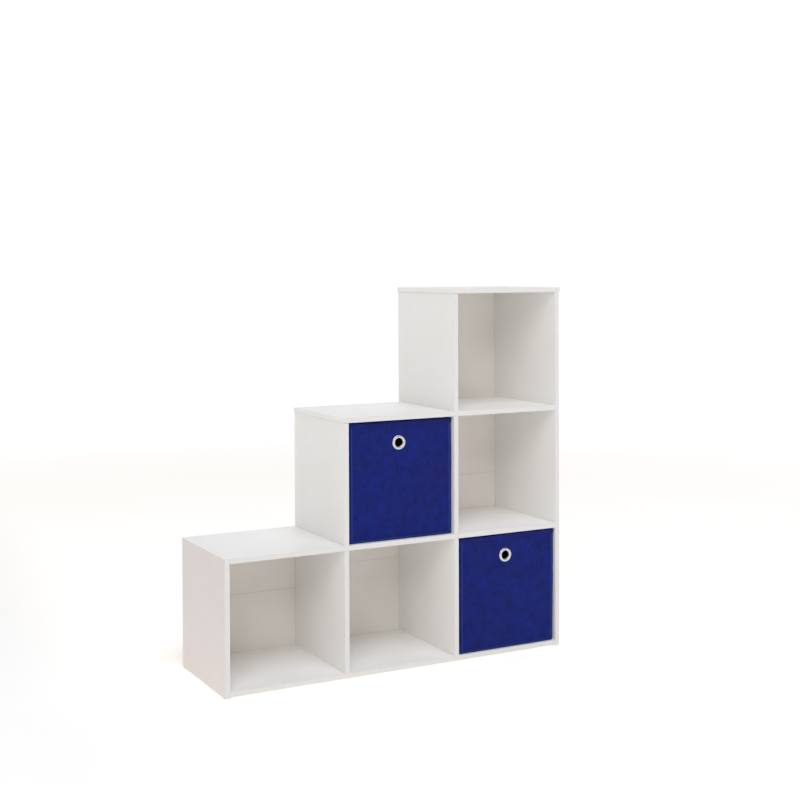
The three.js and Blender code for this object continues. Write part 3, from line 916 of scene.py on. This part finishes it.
# spots round a rectangle with round corners, from its low and high corner drawn in by an inset:
# each has its place, the way out, and its distance to the nearest upright corner
def outline(low, high, inset, radius, z):
    x0, y0, x1, y1 = low.x + inset, low.y + inset, high.x - inset, high.y - inset
    radius = max(radius, leastRadius)
    left, near, right, far = x0 + radius, y0 + radius, x1 - radius, y1 - radius
    sides = [
        ((left, y0), (right, y0), (0, -1), (right, near)),
        ((x1, near), (x1, far), (1, 0), (right, far)),
        ((right, y1), (left, y1), (0, 1), (left, far)),
        ((x0, far), (x0, near), (-1, 0), (left, near)),
    ]
    fine, coarse = fineSteps * fineStep, sideSteps - 2 * fineSteps
    points = []
    for side in sides:
        start, end, out, hub = (Vector(corner) for corner in side)
        length = (end - start).length
        for step in range(sideSteps):
            reach = fine + (length - 2 * fine) * (step - fineSteps) / coarse
            if step < fineSteps:
                reach = step * fineStep
            if step > sideSteps - fineSteps:
                reach = length - (sideSteps - step) * fineStep
            fromCorner = radius + min(reach, length - reach)
            points.append((start.lerp(end, reach / length), out, fromCorner))
        angle = math.atan2(out.y, out.x)
        for step in range(arcSteps):
            turn = angle + math.pi / 2 * step / arcSteps
            way = Vector((math.cos(turn), math.sin(turn)))
            points.append((hub + way * radius, way, radius * abs(2 * step / arcSteps - 1)))
    return [(Vector((*point, z)), out.to_3d(), fromCorner) for point, out, fromCorner in points]


# smooth noise at a spot, with so many waves in a metre
def waves(spot, count, *shift):
    return noise.noise(spot * count + Vector(shift))


def ridge(distance, centre, half):
    return math.exp(-(((distance - centre) / half) ** 2))


# how near a spot is to the bottom of a seam, and to what stands out beside it:
# the shoulder beside a corner, and the lip below the bottom seam
def seamNearness(fromCorner, height):
    half, bottomSeam = sewing["creaseHalf"], sewing["bottomSeam"]
    crease = max(ridge(fromCorner, sewing["cornerSeam"], half), ridge(height, bottomSeam, half))
    shoulder = ridge(fromCorner, sewing["cornerRow"] + half, half)
    lip = ridge(height, bottomSeam * 0.5, half)
    return crease, max(shoulder, lip)


# 0 at the eyelet and 1 where it no longer holds the cloth
def freeOf(eyelet, spot):
    return 1 - math.exp(-(((spot - eyelet).length / sewing["heldRound"]) ** 2))


# how far the outer cloth stands out of its flat place
def clothRelief(spot, fromCorner, height, top, seed, eyelet):
    across = clamped((fromCorner - sewing["cornerSeam"]) / sewing["bowRise"])
    inside = across * clamped((height - sewing["bottomSeam"]) / sewing["bowRise"])
    fall = min(1, (top - height) / sewing["bowFall"])
    bow = sewing["bow"] * math.sin(inside * math.pi / 2) * fall
    large, small = sewing["ripples"]
    ripple = waves(spot, large, seed, 0, 0)
    ripple += sewing["smallShare"] * waves(spot, small, 0, seed, 0)
    crease, lip = seamNearness(fromCorner, height)
    out = freeOf(eyelet, spot) * (bow + sewing["ripple"] * ripple)
    out += sewing["lip"] * lip - sewing["creaseDepth"] * crease
    return max(out, -sewing["deepest"])


# a closed skin from rings of points, with its ends drawn to a point and a UV in metres;
# marks holds the value of a named attribute at each point of the rings
def skin(name, rings, capped=True, looped=False, marks=None):
    count = len(rings[0])
    points = [point for ring in rings for point in ring]
    around, middle = [0.0], rings[len(rings) // 2]
    for column in range(count):
        around.append(around[-1] + (middle[(column + 1) % count] - middle[column]).length)
    up = [0.0]
    for row in range(len(rings)):
        following = rings[(row + 1) % len(rings)]
        up.append(up[-1] + (following[0] - rings[row][0]).length)
    faces, places = [], []
    for row in range(len(rings) if looped else len(rings) - 1):
        start, above = row * count, (row + 1) % len(rings) * count
        for column in range(count):
            right = (column + 1) % count
            faces.append((start + column, start + right, above + right, above + column))
            u0, u1, v0, v1 = around[column], around[column + 1], up[row], up[row + 1]
            places += [(u0, v0), (u1, v0), (u1, v1), (u0, v1)]
    if capped:
        for row, flip in ((0, True), (len(rings) - 1, False)):
            hub = sum(rings[row], Vector()) / count
            points.append(hub)
            for column in range(count):
                pair = [row * count + column, row * count + (column + 1) % count]
                corners = [*reversed(pair), len(points) - 1] if flip else [*pair, len(points) - 1]
                faces.append(corners)
                places += [tuple(points[corner].xy) for corner in corners]
    mesh = plainMesh(name, points, faces)
    layer = mesh.uv_layers.new(name="cloth")
    layer.data.foreach_set("uv", [value for place in places for value in place])
    for label, values in (marks or {}).items():
        attribute = mesh.attributes.new(label, "FLOAT", "POINT")
        attribute.data.foreach_set("value", values + [0.0] * (len(points) - len(values)))
    mesh.update()
    return mesh


# the right side of a box stands out at the top and leans in towards its bottom
def settle(mesh, low, high, plan):
    for vertex in mesh.vertices:
        across = max(0, (vertex.co.x - low.x) / (high.x - low.x))
        down = max(0, 1 - (vertex.co.z - low.z) / (high.z - low.z))
        belly = plan["belly"] * clamped((down - bellyFrom) / bellyOver)
        vertex.co.x += (plan["swell"] + belly - plan["lean"] * down) * across ** 2
    mesh.update()


def blockMesh(name, low, high):
    ends = (low, high)
    corners = [Vector((a.x, b.y, c.z)) for c in ends for b in ends for a in ends]
    quads = [(0, 2, 3, 1), (4, 5, 7, 6), (0, 1, 5, 4), (2, 6, 7, 3), (0, 4, 6, 2), (1, 3, 7, 5)]
    return plainMesh(name, corners, quads)


# points round an axis that runs along Y through a centre
def circle(centre, radius, depth, sides):
    turns = [2 * math.pi * step / sides for step in range(sides)]
    return [centre + Vector((radius * math.cos(a), depth, radius * math.sin(a))) for a in turns]


# a round bar along Y
def barMesh(name, centre, radius, run, sides=64):
    return outwardMesh(skin(name, [circle(centre, radius, depth, sides) for depth in run]))


def cutMesh(mesh, cutters):
    body = addObject("cutBody", mesh)
    tools = [addObject("cutter", cutter) for cutter in cutters]
    for tool in tools:
        modifier = body.modifiers.new("cut", "BOOLEAN")
        modifier.operation = "DIFFERENCE"
        modifier.solver = "MANIFOLD"
        modifier.object = tool
    result = shownMesh(body)
    for item in [body, *tools]:
        bpy.data.objects.remove(item)
    return result


# a piece of a box, which leans with the box and stands for a CAD node of it
def addBoxPiece(prefix, part, mesh, material, node, rides="body", smooth=True):
    plan = boxes[prefix]
    settle(mesh, *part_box(f"{prefix}_cover"), plan)
    name, stands = f"{prefix}_{part}", [f"{prefix}_{node}"]
    return addPiece(name, mesh, material, plan[rides], stands, smooth)


# edges sharper than this many degrees stay sharp on a smooth piece
def creaseEdges(piece, degrees):
    piece.data.set_sharp_from_angle(angle=math.radians(degrees))


# outer cloth, rim, lining and floor in one skin, cut for the four cards and the eyelet
def makeCover(prefix, plan, material, eyelet):
    low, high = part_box(f"{prefix}_cover")
    top = high.z - low.z
    fold, corner = sewing["foldRadius"], sewing["cornerRadius"]
    rings, seam = [], []
    for insetShare, heightShare in bottomFoldShares:
        inset, height = fold * insetShare, fold * heightShare
        ring = outline(low, high, inset, corner - inset, low.z + height)
        rings.append([spot for spot, _, _ in ring])
        seam += [0.0] * len(ring)
    heights = [fold + fineStep * step for step in range(2 * fineSteps)]
    start = heights[-1]
    heights += [start + (top - start) * step / outerRows for step in range(1, outerRows + 1)]
    for height in heights:
        ring = []
        for spot, out, fromCorner in outline(low, high, 0, corner, low.z + height):
            stands = clothRelief(spot, fromCorner, height, top, plan["seed"], eyelet)
            stands *= min(1, (top - height) / sewing["heldHem"])
            ring.append(spot + out * stands)
            # the seam mark, for the cloth's painted highlight and painted shade
            crease, lip = seamNearness(fromCorner, height)
            seam.append(lip - crease)
        rings.append(ring)
    inner, wall, bend = top - sewing["floor"], sewing["wall"], sewing["liningCorner"]
    for height in [top - inner * step / innerRows for step in range(innerRows + 1)]:
        held = min(1, (top - height) / sewing["heldHem"]) * min(1, height / sewing["heldFloor"])
        ring = []
        for spot, out, _ in outline(low, high, wall, bend, low.z + height):
            lift = 0.5 + 0.5 * waves(spot, sewing["liningRipples"], 0, 0, plan["seed"])
            ring.append(spot - out * (sewing["ripple"] * lift * held) * freeOf(eyelet, spot))
        rings.append(ring)
        seam += [0.0] * len(ring)
    mesh = outwardMesh(skin(f"{prefix}_cover", rings, marks={"seam": seam}))
    ease = Vector((1, 1, 1)) * sewing["pocketEase"]
    mouth = Vector((0, 0, sewing["pocketMouth"]))
    cutters = []
    for side in walls:
        cardLow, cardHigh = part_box(f"{prefix}_{side}_card")
        cutters.append(blockMesh("pocket", cardLow - ease, cardHigh + ease + mouth))
    cutters.append(barMesh("bore", eyelet, sewing["boreRadius"], sewing["boreRun"]))
    mesh = cutMesh(mesh, cutters)
    creaseEdges(addBoxPiece(prefix, "cloth", mesh, material, "cover"), 40)


hem = {
    "cloth": 0.8 * mm,  # how thick it is
    "gap": 0.3 * mm,  # between it and the wall
    "height": 10 * mm,
    "round": 1.3 * mm,  # over the rim
    "edge": 0.15 * mm,  # a lower edge is drawn in by this,
    "edgeRise": 0.3 * mm,  # back out at this height,
    "innerEdge": 0.1 * mm,  # and ends this far up behind
    "pucker": 0.16 * mm,
    "puckers": 130,  # in a metre
    "sag": 0.25 * mm,
    "sags": 45,
    "sagFrom": 0.8,  # share of the height, from the rim down
    "cornerRadius": 6.8 * mm,
}
hemAcross = sewing["wall"] + 2 * (hem["cloth"] + hem["gap"])  # outside to inside


# half of the hem's section, from its lower edge to the top of the rim: inset and drop
def hemFace():
    bend, height = hem["round"], hem["height"]
    face = [(hem["edge"], -height), (0, -height + hem["edgeRise"]), (0, -height * 0.6), (0, -bend)]
    face += [(bend * (1 - math.cos(a)), -bend * (1 - math.sin(a))) for a in (0.4, 0.8, 1.2)]
    return [*face, (bend, 0)]


# the strip folded over the rim, as a closed section that runs all round
def makeHem(prefix, plan, material):
    low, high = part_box(f"{prefix}_hem")
    thick, height = hem["cloth"], hem["height"]
    face, inner = hemFace(), -height + hem["innerEdge"]
    section = [*face, (hemAcross / 2, 0)]
    section += [(hemAcross - inset, drop) for inset, drop in reversed(face)]
    section += [(hemAcross - thick, inner), (hemAcross - thick, -thick)]
    section += [(thick, -thick), (thick, inner)]
    rings = []
    for inset, drop in section:
        way = 1 if inset < thick else -1
        ring = []
        for spot, out, _ in outline(low, high, inset, hem["cornerRadius"] - inset, high.z + drop):
            wave = waves(spot, hem["puckers"], plan["seed"], 0, 0)
            sag = waves(spot, hem["sags"], 0, 0, plan["seed"])
            if drop < -hem["round"]:
                spot += out * max(hem["pucker"] * wave * way, 0)
            if drop < -height * hem["sagFrom"]:
                spot.z += hem["sag"] * sag
            ring.append(spot)
        rings.append(ring)
    mesh = outwardMesh(skin(f"{prefix}_hem_strip", rings, capped=False, looped=True))
    creaseEdges(addBoxPiece(prefix, "hem_strip", mesh, material, "hem"), 50)


insertLook = {
    "edge": 1.3 * mm,
    "under": 30 * mm,  # inset of the last row below
    "rows": [inset * mm for inset in (3, 7, 16, 34, 62, 95, 122)],  # insets of those above
    "crown": 0.7 * mm,
    "crownOver": 18 * mm,
    "pressed": 0.6,  # share of the crown that the wrapping leaves
    "dent": 0.18 * mm,
    "dents": 30,  # in a metre
    "corner": 4 * mm,
}


# the loose board in the bottom, wrapped in the same cloth
def makeInsert(prefix, plan, material):
    low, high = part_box(f"{prefix}_base_insert")
    thick, edge = high.z - low.z, insertLook["edge"]
    section = [(insertLook["under"], 0), (edge, 0), (edge * 0.3, edge * 0.35), (0, edge)]
    section += [(0, thick - edge * 1.3), (edge * 0.3, thick - edge * 0.7)]
    section += [(edge, thick - edge * 0.35), *((inset, thick) for inset in insertLook["rows"])]
    rings = []
    for inset, height in section:
        dip = insertLook["crown"] * math.exp(-inset / insertLook["crownOver"])
        corner = insertLook["corner"] - inset
        ring = []
        for spot, _, _ in outline(low, high, inset, corner, low.z + height):
            if height == thick:
                dents = waves(spot, insertLook["dents"], plan["seed"], 0, 0)
                spot.z -= dip * insertLook["pressed"] + insertLook["dent"] * (1 + dents)
            ring.append(spot)
        rings.append(ring)
    mesh = outwardMesh(skin(f"{prefix}_insert", rings))
    addBoxPiece(prefix, "insert", mesh, material, "base_insert", "insert")


# each card keeps its place in its pocket, and leans with the cloth
def makeCards(prefix, material):
    for side in walls:
        part, node = f"{side}_stiffener", f"{side}_card"
        mesh = outwardMesh(nodes[f"{prefix}_{node}"].data.copy())
        addBoxPiece(prefix, part, mesh, material, node, smooth=False)


eyeletRing = {
    "outer": 17.5 * mm, "hole": 10.7 * mm, "rise": 1.9 * mm, "sheet": 0.6 * mm,
    "gap": 0.2 * mm, "flare": 13.6 * mm, "washer": 16.5 * mm, "domeSteps": 18,
    "fullness": 0.8,  # power of the dome's sine, less is fuller
    "rolled": 0.3 * mm,  # rounding of the flare,
    "washerEdge": 0.15 * mm,  # and of the washer
    "barrelShadeFrom": 0.3 * mm,  # painted shade inside the barrel begins this far behind the cloth's face
}


# a turned piece about Y, from radius and depth pairs that close on themselves
def turned(name, centre, profile, sides=96):
    rings, barrel = [], []
    for radius, depth in profile:
        rings.append(circle(centre, radius, depth, sides))
        # points behind the cloth's face carry the barrel mark, for painted shade inside the hole
        barrel += [1.0 if depth > eyeletRing["barrelShadeFrom"] else 0.0] * sides
    return outwardMesh(skin(name, rings, capped=False, looped=True, marks={"barrel": barrel}))


# the domed front of the ring, from its outer edge in, drawn in by an inset
def dome(inset):
    outer, hole, steps = (eyeletRing[size] for size in ("outer", "hole", "domeSteps"))
    half, middle = (outer - hole) / 2 - inset, (outer + hole) / 2
    rise, gap, power = eyeletRing["rise"] - inset, eyeletRing["gap"], eyeletRing["fullness"]
    turns = [math.pi * step / steps for step in range(steps + 1)]
    return [(middle + half * math.cos(a), -gap - rise * math.sin(a) ** power) for a in turns]


# domed ring in front, barrel through the wall and a rolled flare behind the washer
def makeEyelet(prefix, material, eyelet):
    sizes = ("hole", "sheet", "gap", "flare", "washer", "rolled", "washerEdge")
    hole, sheet, gap, flare, washer, rolled, ease = (eyeletRing[size] for size in sizes)
    barrel = hole + sheet
    back = sewing["wall"] + 2 * gap + sheet
    profile = dome(0) + [(hole, back + sheet * 0.4), (hole + rolled, back + sheet)]
    profile += [(flare - rolled, back + sheet), (flare, back + sheet * 0.5), (flare, back)]
    profile += [(barrel, back), *reversed(dome(sheet))]
    mesh = turned(f"{prefix}_ring", eyelet, profile)
    creaseEdges(addBoxPiece(prefix, "ring", mesh, material, "eyelet"), 50)
    near = sewing["wall"] + gap
    far, inside = near + sheet, barrel + gap
    profile = [(inside, near), (washer - ease, near), (washer, near + ease)]
    profile += [(washer, far - ease), (washer - ease, far), (inside, far)]
    mesh = turned(f"{prefix}_washer", eyelet, profile)
    piece = addBoxPiece(prefix, "washer", mesh, material, "eyelet_washer")
    creaseEdges(piece, 40)


stitch = {"pitch": 3.3 * mm, "length": 2.5 * mm, "rise": 0.22 * mm, "thread": 0.19 * mm}
stitchRows = {
    "hemDropShare": 0.75,  # of the hem's height
    "proud": 0.05 * mm,  # of the hem's two faces
    "cornerFoot": 10 * mm,  # a corner's rows begin here,
    "cornerEnds": 21 * mm,  # and leave this free of the height at both ends together
    "cornerSteps": 59,
}


# rows along both faces of the hem, down the seam beside each corner, and round the bottom
def makeStitches(prefix, plan, tree, material, eyelet):
    low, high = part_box(f"{prefix}_cover")
    top = high.z - low.z

    def onCloth(spot, out, fromCorner, height):
        stands = clothRelief(spot, fromCorner, height, top, plan["seed"], eyelet)
        return spot + out * stands, out

    hemLow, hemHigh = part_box(f"{prefix}_hem")
    row = hemHigh.z - hem["height"] * stitchRows["hemDropShare"]
    proud = stitchRows["proud"]
    lines = []
    for inset, side in ((-proud, 1), (hemAcross + proud, -1)):
        run = outline(hemLow, hemHigh, inset, hem["cornerRadius"] - inset, row)
        lines.append([(spot, out * side) for spot, out, _ in run[:-2]])
    above = sewing["bottomSeam"]
    run = outline(low, high, 0, sewing["cornerRadius"], low.z + above)
    lines.append([onCloth(*spot, above) for spot in run[:-2]])
    seam, steps = sewing["cornerRow"], stitchRows["cornerSteps"]
    foot, run = stitchRows["cornerFoot"], top - stitchRows["cornerEnds"]
    heights = [foot + run * step / steps for step in range(steps + 1)]
    for x, y in ((low.x, low.y), (high.x, low.y), (high.x, high.y), (low.x, high.y)):
        inX = Vector((1 if x == low.x else -1, 0, 0))
        inY = Vector((0, 1 if y == low.y else -1, 0))
        for along, out in ((inX, -inY), (inY, -inX)):
            line = []
            for height in heights:
                spot = Vector((x, y, low.z + height)) + along * seam
                line.append(onCloth(spot, out, seam, height))
            lines.append(line)
    name = f"{prefix}_stitches"
    piece = makeFromTree(name, tree, stitch, lines, material, plan["body"])
    settle(piece.data, low, high, plan)


# both boxes share one set of finishes
def makeBoxes():
    blue, thread, card, metal = pressedCloth(), blueThread(), greyCard(), nickelPlate()
    tree = stitchTree(stitch)
    for prefix, plan in boxes.items():
        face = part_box(f"{prefix}_cover")[0].y
        ringLow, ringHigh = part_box(f"{prefix}_eyelet")
        eyelet = Vector(((ringLow.x + ringHigh.x) / 2, face, (ringLow.z + ringHigh.z) / 2))
        makeCover(prefix, plan, blue, eyelet)
        makeHem(prefix, plan, blue)
        makeInsert(prefix, plan, blue)
        makeCards(prefix, card)
        makeEyelet(prefix, metal, eyelet)
        makeStitches(prefix, plan, tree, thread, eyelet)
        print(f"{prefix} sewn")


makeBoxes()
